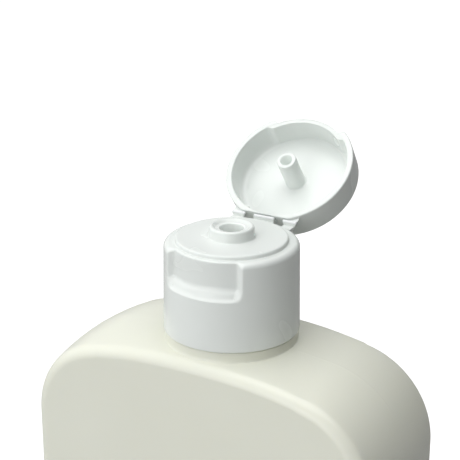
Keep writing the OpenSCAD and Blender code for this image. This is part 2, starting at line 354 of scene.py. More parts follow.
BOTTLE_FINISH = Finish(
    colour=(0.775, 0.79, 0.70),
    shade=(0.735, 0.745, 0.645),
    roughness=0.30,
    roughness_spread=0.10,
    subsurface=0.12,
    subsurface_radius=(1.0, 0.9, 0.65),
    grain_mm=0.35,
    grain_height_mm=0.0035,
    wave_mm=24,
    wave_height_mm=0.05,
    scuff=0.05,
)
CLOSURE_FINISH = Finish(
    colour=(0.765, 0.80, 0.775),
    shade=(0.745, 0.78, 0.755),
    roughness=0.26,
    roughness_spread=0.08,
    subsurface=0.15,
    subsurface_radius=(0.9, 0.95, 1.0),
    grain_mm=0.22,
    grain_height_mm=0.0015,
    wave_mm=9,
    wave_height_mm=0.012,
    scuff=0.02,
)
# Painted light: the closure's plastic made to glow, to brighten the bores where the lamps give little
# light.
PAINTED_GLOW_FINISH = replace(CLOSURE_FINISH, scuff=0.0, glow=0.16)
FILM_FINISH = Finish(
    colour=(0.83, 0.85, 0.86),
    shade=(0.88, 0.90, 0.91),
    roughness=0.42,
    roughness_spread=0.12,
    subsurface=0.3,
    subsurface_radius=(1.0, 1.0, 1.0),
    grain_mm=0.12,
    grain_height_mm=0.004,
    wave_mm=2.5,
    wave_height_mm=0.01,
    scuff=0.5,
)
FOAM_FINISH = Finish(
    colour=(0.80, 0.81, 0.82),
    shade=(0.66, 0.67, 0.69),
    roughness=0.85,
    roughness_spread=0.08,
    subsurface=0.0,
    subsurface_radius=(1.0, 1.0, 1.0),
    grain_mm=0.18,
    grain_height_mm=0.05,
    wave_mm=3,
    wave_height_mm=0.03,
    scuff=0.1,
)


class Nodes:
    """A small hand for wiring the nodes of one tree."""

    def __init__(self, tree: bpy.types.NodeTree) -> None:
        """Takes the tree that the nodes go into."""
        self.tree = tree

    def add(self, kind: str, **settings: object) -> bpy.types.Node:
        """Adds a node and sets its properties, and its inputs where a name matches one."""
        node = self.tree.nodes.new(kind)
        for key, value in settings.items():
            if key in node.inputs:
                node.inputs[key].default_value = value
            else:
                setattr(node, key, value)
        return node

    def wire(self, source: bpy.types.NodeSocket, target: bpy.types.NodeSocket) -> None:
        """Links an output to an input."""
        self.tree.links.new(source, target)

    def math(self, operation: str, first: object, second: object) -> bpy.types.NodeSocket:
        """Adds a maths node whose inputs are sockets or numbers, and returns its output."""
        node = self.add("ShaderNodeMath", operation=operation)
        for socket, value in zip(node.inputs, (first, second)):
            if isinstance(value, bpy.types.NodeSocket):
                self.wire(value, socket)
            else:
                socket.default_value = value
        return node.outputs[0]


def new_group(name: str, inputs: dict[str, float], outputs: Sequence[str]) -> tuple:
    """Makes a shader node group with a Vector input, number inputs and number outputs.

    Args:
        name: The group's name.
        inputs: Each number input and its usual value.
        outputs: The names of the number outputs.

    Returns:
        The group, its Nodes hand, its input node and its output node.
    """
    group = bpy.data.node_groups.new(name, "ShaderNodeTree")
    group.interface.new_socket("Vector", in_out="INPUT", socket_type="NodeSocketVector")
    for key, value in inputs.items():
        socket = group.interface.new_socket(key, in_out="INPUT", socket_type="NodeSocketFloat")
        socket.default_value = value
    for key in outputs:
        group.interface.new_socket(key, in_out="OUTPUT", socket_type="NodeSocketFloat")
    hand = Nodes(group)
    return group, hand, hand.add("NodeGroupInput"), hand.add("NodeGroupOutput")


def moulded_skin() -> bpy.types.NodeTree:
    """Builds the group for a mould's grain and for the slow waves of a moulded wall."""
    group, hand, given, made = new_group(
        "moulded_skin",
        {"Grain scale": 2000.0, "Grain height": 1.0, "Wave scale": 40.0, "Wave height": 1.0},
        ("Height", "Wave"),
    )
    grain = hand.add("ShaderNodeTexNoise", Detail=3.0, Roughness=0.55)
    wave = hand.add("ShaderNodeTexNoise", Detail=1.0, Roughness=0.4)
    for node, key in ((grain, "Grain"), (wave, "Wave")):
        hand.wire(given.outputs["Vector"], node.inputs["Vector"])
        hand.wire(given.outputs[f"{key} scale"], node.inputs["Scale"])
    fine = hand.math("MULTIPLY", grain.outputs[0], given.outputs["Grain height"])
    slow = hand.math("MULTIPLY", wave.outputs[0], given.outputs["Wave height"])
    hand.wire(hand.math("ADD", fine, slow), made.inputs["Height"])
    hand.wire(wave.outputs[0], made.inputs["Wave"])
    return group


def handling_marks() -> bpy.types.NodeTree:
    """Builds the group for the faint scuffs and hairlines that handling leaves."""
    group, hand, given, made = new_group(
        "handling_marks", {"Amount": 0.3, "Scale": 60.0}, ("Scuff", "Hairline")
    )
    patch = hand.add("ShaderNodeTexNoise", Detail=1.5, Roughness=0.4)
    hand.wire(given.outputs["Vector"], patch.inputs["Vector"])
    hand.wire(given.outputs["Scale"], patch.inputs["Scale"])
    spots = hand.add("ShaderNodeMapRange")
    spots.inputs["From Min"].default_value = 0.45
    spots.inputs["From Max"].default_value = 0.9
    hand.wire(patch.outputs[0], spots.inputs["Value"])
    hand.wire(hand.math("MULTIPLY", spots.outputs[0], given.outputs["Amount"]), made.inputs["Scuff"])
    stretch = hand.add("ShaderNodeMapping")
    stretch.inputs["Rotation"].default_value = (0.35, 0.2, 0.9)
    stretch.inputs["Scale"].default_value = (1.0, 14.0, 5.0)
    hand.wire(given.outputs["Vector"], stretch.inputs["Vector"])
    lines = hand.add("ShaderNodeTexNoise", Detail=2.0, Roughness=0.7)
    hand.wire(stretch.outputs[0], lines.inputs["Vector"])
    hand.wire(hand.math("MULTIPLY", given.outputs["Scale"], 4.0), lines.inputs["Scale"])
    thin = hand.add("ShaderNodeMapRange")
    thin.inputs["From Min"].default_value = 0.52
    thin.inputs["From Max"].default_value = 0.98
    hand.wire(lines.outputs[0], thin.inputs["Value"])
    hand.wire(hand.math("MULTIPLY", thin.outputs[0], spots.outputs[0]), made.inputs["Hairline"])
    return group


class Plastics:
    """Makes the object's materials from their finishes, on two shared node groups."""

    def __init__(self) -> None:
        """Builds the shared groups."""
        self.skin = moulded_skin()
        self.marks = handling_marks()

    def make(self, name: str, finish: Finish) -> bpy.types.Material:
        """Makes one material.

        Args:
            name: The material's name.
            finish: Its colours, roughness and texture.

        Returns:
            The material.
        """
        material = bpy.data.materials.new(name)
        material.use_nodes = True
        hand = Nodes(material.node_tree)
        shader = material.node_tree.nodes["Principled BSDF"]
        place = hand.add("ShaderNodeTexCoord").outputs["Object"]
        skin = hand.add("ShaderNodeGroup", node_tree=self.skin)
        marks = hand.add("ShaderNodeGroup", node_tree=self.marks)
        hand.wire(place, skin.inputs["Vector"])
        hand.wire(place, marks.inputs["Vector"])
        skin.inputs["Grain scale"].default_value = 1 / (finish.grain_mm * MM)
        skin.inputs["Grain height"].default_value = finish.grain_height_mm
        skin.inputs["Wave scale"].default_value = 1 / (finish.wave_mm * MM)
        skin.inputs["Wave height"].default_value = finish.wave_height_mm
        marks.inputs["Amount"].default_value = finish.scuff
        marks.inputs["Scale"].default_value = 1 / (MARKS_MM * MM)

        tint = hand.add("ShaderNodeMix", data_type="RGBA")
        tint.inputs["A"].default_value = (*finish.colour, 1)
        tint.inputs["B"].default_value = (*finish.shade, 1)
        hand.wire(skin.outputs["Wave"], tint.inputs["Factor"])
        hand.wire(tint.outputs["Result"], shader.inputs["Base Color"])

        rough = hand.math(
            "ADD",
            hand.math("MULTIPLY", marks.outputs["Scuff"], finish.roughness_spread * 3),
            hand.math("MULTIPLY", skin.outputs["Wave"], finish.roughness_spread),
        )
        hand.wire(
            hand.math("ADD", rough, finish.roughness - finish.roughness_spread / 2),
            shader.inputs["Roughness"],
        )
        height = hand.math(
            "SUBTRACT",
            skin.outputs["Height"],
            hand.math("MULTIPLY", marks.outputs["Hairline"], finish.grain_height_mm),
        )
        bump = hand.add("ShaderNodeBump", Distance=MM, Strength=1.0)
        hand.wire(height, bump.inputs["Height"])
        hand.wire(bump.outputs["Normal"], shader.inputs["Normal"])
        # Painted light: the surface glows in its own colour.
        if finish.glow:
            hand.wire(tint.outputs["Result"], shader.inputs["Emission Color"])
            shader.inputs["Emission Strength"].default_value = finish.glow
        if finish.subsurface:
            shader.inputs["Subsurface Weight"].default_value = finish.subsurface
            shader.inputs["Subsurface Radius"].default_value = finish.subsurface_radius
            shader.inputs["Subsurface Scale"].default_value = MM
        return material


@dataclass
class ThreadRidge:
    """A helical ridge with faded ends, whose foot is sunk into a wall."""

    name: str
    foot_r: float
    crest_r: float
    start_z: float
    turns: float
    pitch: float = 3.175
    foot_w: float = 1.6
    crest_w: float = 0.75
    sunk: float = 0.3
    steps: int = 60
    fade: float = 0.1

    def build(self) -> bpy.types.Object:
        """Builds the ridge as a closed piece.

        Returns:
            The ridge, out of edit mode.
        """
        out = 1 if self.crest_r > self.foot_r else -1
        piece = Bench.plane(self.name, 1, 1, (0, 0, 0))
        bpy.ops.mesh.delete(type="ONLY_FACE")
        Bench.clear()
        root = self.foot_r - out * self.sunk
        for vertex in piece.data.vertices:
            side = math.copysign(0.5, vertex.co.z)
            if vertex.co.x * out < 0:
                place = (root, 0, self.start_z + side * self.foot_w)
            else:
                place = (self.crest_r, 0, self.start_z + side * self.crest_w)
            vertex.co = Vector(place) * MM
        Bench.apply(
            piece,
            "SCREW",
            axis="Z",
            angle=math.tau * self.turns,
            screw_offset=self.pitch * self.turns * MM,
            steps=round(self.steps * self.turns),
            render_steps=round(self.steps * self.turns),
            use_merge_vertices=False,
        )
        Bench.open(piece)
        bpy.ops.mesh.select_mode(type=Element.EDGE.value)
        bpy.ops.mesh.select_all(action="DESELECT")
        bpy.ops.mesh.select_non_manifold()
        bpy.ops.mesh.edge_face_add()
        Bench.tidy()
        Bench.clear()
        return piece


BODY_W, BODY_D, BODY_H = 88.5, 35.0, 140.0


@dataclass
class Shell:
    """The closed form of the bottle's body at one size.

    The roof and the corners are arcs seen from the front, the sides and the roof bow out between
    the two faces, and the roof bows less near the neck.
    """

    name: str
    width: float = BODY_W
    depth: float = BODY_D
    top: float = BODY_H
    base: float = 0.0
    roof: float = 200.0
    corner: float = 21.5
    edge: float = 2.4
    heel: float = 2.3
    bow: float = 1.9
    level: float = 0.45
    level_from: float = 12.0
    level_to: float = 34.0
    arc_rows: int = 28
    roof_rows: int = 12
    edge_rows: int = 8
    band_rows: int = 10

    def __post_init__(self) -> None:
        """Works out where the shoulder's corner arcs meet the roof."""
        self.corner_x = self.width / 2 - self.corner
        self.roof_z = self.top - self.roof
        self.corner_z = self.roof_z + math.sqrt((self.roof - self.corner) ** 2 - self.corner_x**2)
        self.meet = math.atan2(self.corner_z - self.roof_z, self.corner_x)

    def outline(self) -> bpy.types.Object:
        """Draws the right half of the front face and mirrors it.

        Returns:
            The flat front face, open in edit mode.
        """
        front = -self.depth / 2
        half = self.width / 2
        tall = self.corner_z - self.base
        piece = Bench.plane(self.name, half, tall, (half / 2, front, self.base + tall / 2))
        top = self.corner_z - NEAR_MM
        Bench.pick(piece, Element.VERT, lambda p: p.x > half - NEAR_MM and p.z > top)
        for centre, angle, rows in (
            ((self.corner_x, front, self.corner_z), self.meet, self.arc_rows),
            ((0, front, self.roof_z), math.pi / 2 - self.meet, self.roof_rows),
        ):
            bpy.ops.mesh.spin(
                steps=rows, angle=angle, center=[c * MM for c in centre], axis=(0, 1, 0)
            )
        Bench.pick(piece, Element.VERT, lambda p: p.z > top)
        bpy.ops.mesh.edge_face_add()
        Bench.clear()
        Bench.apply(piece, "MIRROR", use_clip=True, merge_threshold=MERGE_MM * MM)
        Bench.open(piece)
        bpy.ops.mesh.select_all(action="SELECT")
        bpy.ops.mesh.dissolve_limited(angle_limit=math.radians(0.05))
        return piece

    def bowed(self, p: Vector) -> Vector:
        """Returns where a point goes once the sides and the roof bow out between the faces."""
        half = self.depth / 2
        radius = (half**2 + self.bow**2) / (2 * self.bow)
        inward = radius - math.sqrt(radius**2 - p.y**2)
        side = math.copysign(1, p.x)
        arm = Vector((abs(p.x) - self.corner_x, 0, p.z - self.corner_z))
        if p.z <= self.corner_z:
            out = Vector((side, 0, 0)) * min(1.0, abs(p.x) / self.corner_x)
        elif arm.x > 0 and math.atan2(arm.z, arm.x) < self.meet:
            out = Vector((side * arm.x, 0, arm.z)).normalized()
        else:
            out = Vector((p.x, 0, p.z - self.roof_z)).normalized()
            out *= 1 - self.level * (1 - smooth(self.level_from, self.level_to, abs(p.x)))
        return p - out * inward

    def build(self) -> bpy.types.Object:
        """Extrudes the outline, rounds its edges and bows its sides.

        Returns:
            The closed body, out of edit mode.
        """
        piece = self.outline()
        bpy.ops.mesh.select_all(action="SELECT")
        foot = self.base + NEAR_MM
        face_y = self.depth / 2 - NEAR_MM
        step = self.depth / self.band_rows
        for _ in range(self.band_rows):
            bpy.ops.mesh.extrude_region_move(TRANSFORM_OT_translate={"value": (0, step * MM, 0)})
        Bench.tidy()
        Bench.pick(piece, Element.FACE, lambda p: p.z < foot)
        bpy.ops.mesh.dissolve_faces()
        Bench.pick(piece, Element.EDGE, lambda p: abs(p.y) > face_y and p.z > foot)
        bpy.ops.mesh.bevel(
            offset=self.edge * MM, segments=self.edge_rows, profile=0.5, affect="EDGES"
        )
        Bench.pick(piece, Element.EDGE, lambda p: p.z < foot)
        bpy.ops.mesh.bevel(
            offset=self.heel * MM, segments=self.edge_rows, profile=0.5, affect="EDGES"
        )
        Bench.tidy()
        Bench.clear()
        Bench.shape(piece, self.bowed)
        return piece


@dataclass
class Bottle:
    """The blown bottle: its shell, neck, thread, seam, base and hollow."""

    wall: float = 1.0
    neck_r: float = 10.9
    neck_bore_r: float = 9.0
    lip_z: float = 159.5
    bead_z: float = 142.9
    bead_r: float = 0.8
    bead_out: float = 1.3
    neck_foot_z: float = 137.5
    land_r: float = 14.9
    land_z: float = 141.6
    land_foot_z: float = 138.95
    land_blend: float = 1.0
    land_round: float = 0.3
    lip_round: float = 0.5
    thread_r: float = 12.0
    thread_z: float = 152.6375
    thread_turns: float = 1.5
    bore_low_z: float = 136.0
    bore_high_z: float = 161.0
    foot_w: float = 6.0
    foot_depth: float = 1.5
    foot_corner: float = 6.0
    foot_edge: float = 0.5
    seam_half_w: float = 0.22
    seam_height: float = 0.03
    seam_low_z: float = 5.0

    def neck(self) -> bpy.types.Object:
        """Turns the outside of the neck.

        Returns:
            The closed neck, whose foot lies in the roof of the body.
        """
        land_foot = self.land_r + self.land_blend
        land_top = self.land_z - self.land_round
        round_r, round_z = self.neck_r - self.lip_round, self.lip_z - self.lip_round
        bead_x = self.neck_r + self.bead_out - self.bead_r
        lathe = Lathe("neck", 0, self.neck_foot_z)
        lathe.line(land_foot, self.neck_foot_z).line(land_foot, self.land_foot_z)
        lathe.arc(land_foot, self.land_foot_z + self.land_blend, -90, 8)
        lathe.line(self.land_r, land_top, 2).arc(self.land_r - self.land_round, land_top, 90, 5)
        lathe.line(self.neck_r + self.bead_out, self.land_z, 3)
        lathe.line(self.neck_r, self.bead_z - self.bead_r).line(bead_x, self.bead_z - self.bead_r)
        lathe.arc(bead_x, self.bead_z, 180, 12)
        lathe.line(self.neck_r, self.bead_z + self.bead_r)
        lathe.line(self.neck_r, round_z, 10).arc(round_r, round_z, 90, 5)
        lathe.line(0, self.lip_z)
        return lathe.turn(((360, 120),))

    def seam(self, piece: bpy.types.Object) -> None:
        """Raises the parting line that runs over the sides and the shoulders."""
        Bench.open(piece)
        for y in (-3 * self.seam_half_w, -self.seam_half_w, self.seam_half_w, 3 * self.seam_half_w):
            bpy.ops.mesh.select_all(action="SELECT")
            bpy.ops.mesh.bisect(plane_co=(0, y * MM, 0), plane_no=(0, 1, 0))
        Bench.pick(piece, Element.VERT, lambda p: abs(p.y) < NEAR_MM and p.z > self.seam_low_z)
        bpy.ops.transform.shrink_fatten(value=self.seam_height * MM)
        Bench.clear()

    def base(self) -> bpy.types.Object:
        """Builds the round-cornered block whose shape the hollow under the base has.

        Returns:
            The closed block.
        """
        Bench.clear()
        bpy.ops.mesh.primitive_cube_add(size=1.0, location=(0, 0, 0))
        piece = bpy.context.object
        size = (BODY_W - 2 * self.foot_w, BODY_D - 2 * self.foot_w, 2 * self.foot_depth)
        piece.scale = [side * MM for side in size]
        bpy.ops.object.transform_apply(location=True, rotation=True, scale=True)
        Bench.open(piece)
        Bench.pick(piece, Element.EDGE, lambda p: abs(p.z) < NEAR_MM)
        bpy.ops.mesh.bevel(offset=self.foot_corner * MM, segments=8, affect="EDGES")
        Bench.pick(piece, Element.EDGE, lambda p: p.z > self.foot_depth - NEAR_MM)
        bpy.ops.mesh.bevel(offset=self.foot_edge * MM, segments=4, affect="EDGES")
        Bench.tidy()
        Bench.clear()
        return piece

    def hollow(self, outer: Shell) -> bpy.types.Object:
        """Builds the body's inside.

        Args:
            outer: The form of its outside.

        Returns:
            The closed form of its inside, one wall smaller all round.
        """
        return replace(
            outer,
            name="hollow",
            width=outer.width - 2 * self.wall,
            depth=outer.depth - 2 * self.wall,
            top=outer.top - self.wall,
            base=self.foot_depth + self.wall,
            roof=outer.roof - self.wall,
            corner=outer.corner - self.wall,
            edge=outer.edge - self.wall,
            heel=outer.heel - self.wall,
            arc_rows=14,
            roof_rows=6,
            edge_rows=4,
            band_rows=6,
        ).build()

    def bore(self) -> bpy.types.Object:
        """Turns the round tool that opens the neck into the hollow."""
        lathe = Lathe("bore", 0, self.bore_low_z)
        lathe.line(self.neck_bore_r, self.bore_low_z).line(self.neck_bore_r, self.bore_high_z)
        lathe.line(0, self.bore_high_z)
        return lathe.turn(((360, 96),))

    def build(self, plastics: Plastics) -> bpy.types.Object:
        """Builds the whole bottle with its hollow.

        Args:
            plastics: Makes its material.

        Returns:
            The bottle.
        """
        shell = Shell("bottle_body")
        piece = shell.build()
        self.seam(piece)
        Bench.combine(piece, self.base(), "DIFFERENCE")
        thread = ThreadRidge(
            "neck_thread", self.neck_r, self.thread_r, self.thread_z, self.thread_turns
        )
        Bench.combine(piece, self.neck(), "UNION")
        Bench.combine(piece, thread.build(), "UNION")
        Bench.combine(piece, self.hollow(shell), "DIFFERENCE")
        Bench.combine(piece, self.bore(), "DIFFERENCE")
        piece.data.materials.clear()
        piece.data.materials.append(plastics.make("blown_plastic", BOTTLE_FINISH))
        Bench.finish(piece, Body.BOTTLE, Slot.BOTTLE)
        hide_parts("bottle")
        return piece


@dataclass
class Recess:
    """The thumb recess that the closure and the shut lid share."""

    half_w: float = 8.6
    corner: float = 1.6
    floor_r: float = 13.5
    foot_z: float = 153.3
    slope: float = 2.4
    edge: float = 0.6
    side_edge: float = 1.1

    def share(self, x: float, z: float, grow: float = 0.0) -> float:
        """Says how far a point of the front lies inside the recess's outline.

        Args:
            x: The point's distance from the middle, in millimetres.
            z: Its height, in millimetres.
            grow: How much wider than the recess the outline is taken.

        Returns:
            From 0 outside to 1 inside, eased over the recess's rounded edge.
        """
        radius = self.corner + grow
        ax = abs(x) - (self.half_w + grow - radius)
        az = (self.foot_z - grow + radius) - z
        outside = math.hypot(max(ax, 0.0), max(az, 0.0)) + min(max(ax, az), 0.0) - radius
        soft = self.side_edge if ax > az else self.edge
        return 1 - smooth(-soft, soft, outside)


# Each sector's degrees and steps, from +X round by the hinge: fine at the recess, finest at its sides.
FRONT_SECTORS = (
    (72, 36), (36, 36), (118, 46), (14, 46), (60, 60), (14, 46), (46, 23),
)


@dataclass
class Closure:
    """The screw-on base of the closure: skirt, collar, ledge, deck and spout."""

    recess: Recess = field(default_factory=Recess)
    skirt_z: float = 141.7
    skirt_r: float = 15.25
    skirt_wall: float = 1.0
    skirt_round: float = 0.3
    closure_r: float = 15.0
    ledge_z: float = 162.0
    ledge_r: float = 1.3
    ledge_fillet: float = 0.25
    under_z: float = 160.6
    deck_r: float = 12.5
    deck_z: float = 162.95
    deck_edge: float = 0.475
    spout_z: float = 165.45
    spout_r: float = 5.0
    spout_draft: float = 0.2
    spout_fillet: float = 0.35
    spout_lip: float = 0.55
    dish_r: float = 3.55
    dish: float = 0.5
    orifice_r: float = 2.7
    orifice_round: float = 0.3
    bore_r: float = 12.3
    collar_r: float = 13.5
    collar_z: float = 144.7
    thread_z: float = 151.05
    thread_crest_r: float = 11.25
    thread_turns: float = 1.25
    lip_below: float = 0.6
    lip_above: float = 2.1
    dent_y: float = -8.0
    dent_below: float = 3.0
    dent_edge: float = 0.4
    ramp_wave: float = 0.06
    pocket_below: float = 1.4
    pocket_above: float = 2.0
    pocket_grow: float = 1.2
    pocket_squeeze: float = 0.01
    flat_below: float = 1.4
    flat_ease: float = 0.3

    def profile(self) -> Lathe:
        """Draws the closure's whole section, outside first.

        Returns:
            The lathe with its profile drawn back to its start.
        """
        round_z = self.ledge_z - self.ledge_r
        inner = self.closure_r - self.ledge_r
        foot = self.recess.foot_z
        skirt_foot, low = self.skirt_r - self.skirt_round, self.skirt_z + self.skirt_round
        lathe = Lathe("closure_base", skirt_foot, self.skirt_z).arc(skirt_foot, low, 90, 5)
        slope = (self.closure_r - self.skirt_r) / (round_z - low)
        for z, rows in ((foot - self.lip_below, 12), (foot + self.lip_above, 22), (round_z, 12)):
            lathe.line(self.skirt_r + slope * (z - low), z, rows)
        lathe.arc(inner, round_z, 90, 12)
        ledge_foot, fillet = self.deck_r + self.ledge_fillet, self.ledge_z + self.ledge_fillet
        lathe.line(ledge_foot, self.ledge_z, 3).arc(ledge_foot, fillet, -90, 4)
        edge_r, edge_z = self.deck_r - self.deck_edge, self.deck_z - self.deck_edge
        lathe.line(self.deck_r, edge_z).arc(edge_r, edge_z, 90, 7)
        spout_foot = self.spout_r + self.spout_draft + self.spout_fillet
        lathe.line(spout_foot, self.deck_z, 6)
        lathe.arc(spout_foot, self.deck_z + self.spout_fillet, -90, 5)
        lip_z = self.spout_z - self.spout_lip
        lathe.line(self.spout_r, lip_z, 3).arc(self.spout_r - self.spout_lip, lip_z, 130, 12)
        mouth, dish_z = self.orifice_r + self.orifice_round, self.spout_z - self.dish
        lathe.line(self.dish_r, dish_z, 2).line(mouth, dish_z)
        lathe.arc(mouth, dish_z - self.orifice_round, 90, 4)
        lathe.line(self.orifice_r, self.under_z, 3).line(self.bore_r, self.under_z, 4)
        lathe.line(self.bore_r, self.collar_z, 8).line(self.collar_r, self.collar_z)
        lathe.line(self.collar_r, self.under_z, 20).line(self.closure_r - self.skirt_wall, self.under_z)
        lathe.line(self.skirt_r - self.skirt_wall, self.skirt_z, 20).line(skirt_foot, self.skirt_z)
        return lathe

    def skin(self, p: Vector) -> bool:
        """Says whether a point of the section is on the outside, up to the deck's foot."""
        share = (p.z - self.skirt_z) / (self.ledge_z - self.skirt_z)
        outer = mix(self.skirt_r, self.closure_r, share) - 6 * NEAR_MM
        r = math.hypot(p.x, p.y)
        ledge = p.z > self.ledge_z - self.ledge_r - NEAR_MM
        return r > outer or (ledge and r > self.deck_r + 0.8 * self.ledge_fillet)

    def cavity(self, p: Vector) -> bool:
        """Says whether a point of the section is in the gap between the skirt and the collar."""
        r = math.hypot(p.x, p.y)
        wall_in = self.skirt_r - self.skirt_wall
        across = self.collar_r - 2 * NEAR_MM < r < wall_in + 5 * NEAR_MM
        return across and self.collar_z + 10 * NEAR_MM < p.z < self.under_z + NEAR_MM

    def dented(self, p: Vector) -> Vector:
        """Returns where a point of the outside lies once the recess is pressed in fully."""
        rec = self.recess
        r, z = math.hypot(p.x, p.y), p.z
        round_z, inner = self.ledge_z - self.ledge_r, self.closure_r - self.ledge_r
        small = self.dent_edge
        ramp_top = rec.foot_z + rec.slope
        if z >= round_z and r > inner:
            k = small / self.ledge_r
            r, z = rec.floor_r - small + (r - inner) * k, self.ledge_z - small + (z - round_z) * k
        elif z >= self.ledge_z - NEAR_MM:
            k = (rec.floor_r - small - self.deck_r) / (inner - self.deck_r)
            r = self.deck_r + (r - self.deck_r) * k
        elif z > ramp_top:
            z = ramp_top + (z - ramp_top) * (self.ledge_z - small - ramp_top) / (round_z - ramp_top)
            r = rec.floor_r
        else:
            share = min(1.0, max(0.0, (z - rec.foot_z) / rec.slope))
            ease = share + self.ramp_wave * math.sin(math.tau * share)
            r = mix(r, rec.floor_r, ease)
        return Vector((p.x, -math.sqrt(max(r * r - p.x * p.x, NEAR_MM)), z))

    def move(self, p: Vector) -> Vector:
        """Returns where a point of the plain turned closure goes."""
        rec = self.recess
        if p.y < self.dent_y and p.z > rec.foot_z - self.dent_below:
            if self.skin(p):
                share = rec.share(p.x, p.z)
                if share > 0:
                    return p.lerp(self.dented(p), share)
            elif self.cavity(p):
                low, high = rec.foot_z - self.pocket_below, rec.foot_z + self.pocket_above
                share = rec.share(p.x, max(p.z, high), self.pocket_grow)
                if p.z > low:
                    flat = low + self.pocket_squeeze * (p.z - low)
                    return Vector((p.x, p.y, mix(p.z, flat, share)))
        foot = self.ledge_z - self.flat_below
        if p.y > FLAT_Y and p.z > foot:
            keep = smooth(foot, foot + self.flat_ease, p.z)
            return Vector((p.x, mix(p.y, FLAT_Y, keep), p.z))
        return p

    def build(self, plastic: bpy.types.Material, glow: bpy.types.Material) -> bpy.types.Object:
        """Builds the closure's base.

        Args:
            plastic: Its material.
            glow: The glowing material of the orifice's wall, painted light that stands in for the light
                coming through the thin plastic.

        Returns:
            The closure's base.
        """
        piece = self.profile().turn(FRONT_SECTORS)
        Bench.shape(piece, self.move)
        thread = ThreadRidge(
            "closure_thread", self.bore_r, self.thread_crest_r, self.thread_z, self.thread_turns
        )
        Bench.combine(piece, thread.build(), "UNION")
        # The orifice's wall gets the glowing material: painted light that brightens the bore.
        wall_r = self.orifice_r + self.orifice_round + 5 * NEAR_MM
        low, high = self.under_z, self.spout_z - self.dish
        coat(piece, plastic, glow, lambda p: math.hypot(p.x, p.y) < wall_r and low < p.z < high)
        Bench.finish(piece, Body.CLOSURE, Slot.CLOSURE)
        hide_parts("closure")
        return piece


@dataclass
class Lid:
    """The hinged lid with its stopper tube, drawn shut and then swung open."""

    recess: Recess = field(default_factory=lambda: Recess(edge=1.0, side_edge=1.0, floor_r=13.9))
    rim_z: float = 162.1
    floor_z: float = 168.4
    top_z: float = 169.6
    rim_r: float = 15.3
    top_r: float = 15.05
    wall: float = 1.45
    wall_draft: float = 0.25
    edge_r: float = 1.2
    edge_step: float = 0.12
    rim_round: float = 0.3
    rim_in_round: float = 0.25
    floor_round: float = 1.6
    tube_r: float = 2.3
    tube_bore_r: float = 1.4
    tube_z: float = 160.0
    tube_round: float = 0.25
    tube_fillet: float = 0.35
    bore_round: float = 0.2
    dent_y: float = -6.0
    dent_depth: float = 1.2
    dent_taper: float = 0.35
    dent_in_r: float = 12.8
    dent_grow: float = 0.6

    def profile(self) -> Lathe:
        """Draws the lid's whole section from the middle of its top round to the tube's bore.

        Returns:
            The lathe with its profile drawn.
        """
        wall_in = self.rim_r - self.wall
        floor_in = wall_in - self.wall_draft
        edge_z = self.top_z - self.edge_r
        slope = (self.rim_r - self.top_r) / (edge_z - self.rim_z)
        low, rim = self.rim_z + self.rim_round, self.rim_r - slope * self.rim_round
        lathe = Lathe("lid_shell", 0, self.top_z).line(self.top_r - self.edge_r, self.top_z, 6)
        lathe.arc(self.top_r - self.edge_r, edge_z, -90, 12)
        lathe.line(self.top_r + slope * self.edge_step, edge_z - self.edge_step)
        lathe.line(rim, low, 16).arc(rim - self.rim_round, low, -90, 4)
        rim_in = wall_in + self.rim_in_round
        lathe.line(rim_in, self.rim_z, 3).arc(rim_in, self.rim_z + self.rim_in_round, -90, 4)
        fillet_z = self.floor_z - self.floor_round
        lathe.line(floor_in, fillet_z, 12).arc(floor_in - self.floor_round, fillet_z, 90, 10)
        tube_foot, end_z = self.tube_r + self.tube_fillet, self.tube_z + self.tube_round
        lathe.line(tube_foot, self.floor_z, 8).arc(tube_foot, self.floor_z - self.tube_fillet, 90, 5)
        lathe.line(self.tube_r, end_z, 8).arc(self.tube_r - self.tube_round, end_z, -90, 4)
        bore_edge = self.tube_bore_r + self.bore_round
        lathe.line(bore_edge, self.tube_z).arc(bore_edge, self.tube_z + self.bore_round, -90, 4)
        lathe.line(self.tube_bore_r, self.floor_z, 4).line(0, self.floor_z)
        return lathe

    def move(self, p: Vector) -> Vector:
        """Returns where a point of the plain turned lid goes."""
        rec = self.recess
        r = math.hypot(p.x, p.y)
        y, z = p.y, p.z
        wall_in = self.rim_r - self.wall
        if y < self.dent_y and r > wall_in - self.dent_depth and z < self.floor_z - 5 * NEAR_MM:
            if r > wall_in + 5 * NEAR_MM:
                target = rec.floor_r - self.dent_taper * (self.rim_r - r) / self.wall
                share = rec.share(p.x, z)
            else:
                target = min(r, self.dent_in_r)
                share = rec.share(p.x, z, self.dent_grow)
            dent = -math.sqrt(max(target * target - p.x * p.x, NEAR_MM))
            y = mix(y, max(y, dent), share)
        return Vector((p.x, min(y, FLAT_Y), z))

    def build(self, plastic: bpy.types.Material, glow: bpy.types.Material) -> bpy.types.Object:
        """Builds the lid and swings it open.

        Args:
            plastic: Its material.
            glow: The glowing material of the tube's bore, painted light that stands in for the light
                coming through the thin plastic.

        Returns:
            The lid.
        """
        piece = self.profile().turn(FRONT_SECTORS)
        Bench.shape(piece, self.move)
        # The tube's bore gets the glowing material: painted light that brightens it.
        wall_r, end = self.tube_bore_r + 10 * NEAR_MM, self.floor_z + 10 * NEAR_MM
        coat(piece, plastic, glow, lambda p: math.hypot(p.x, p.y) < wall_r and p.z < end)
        swing_open(piece)
        Bench.finish(piece, Body.LID, Slot.CLOSURE)
        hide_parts("lid")
        return piece


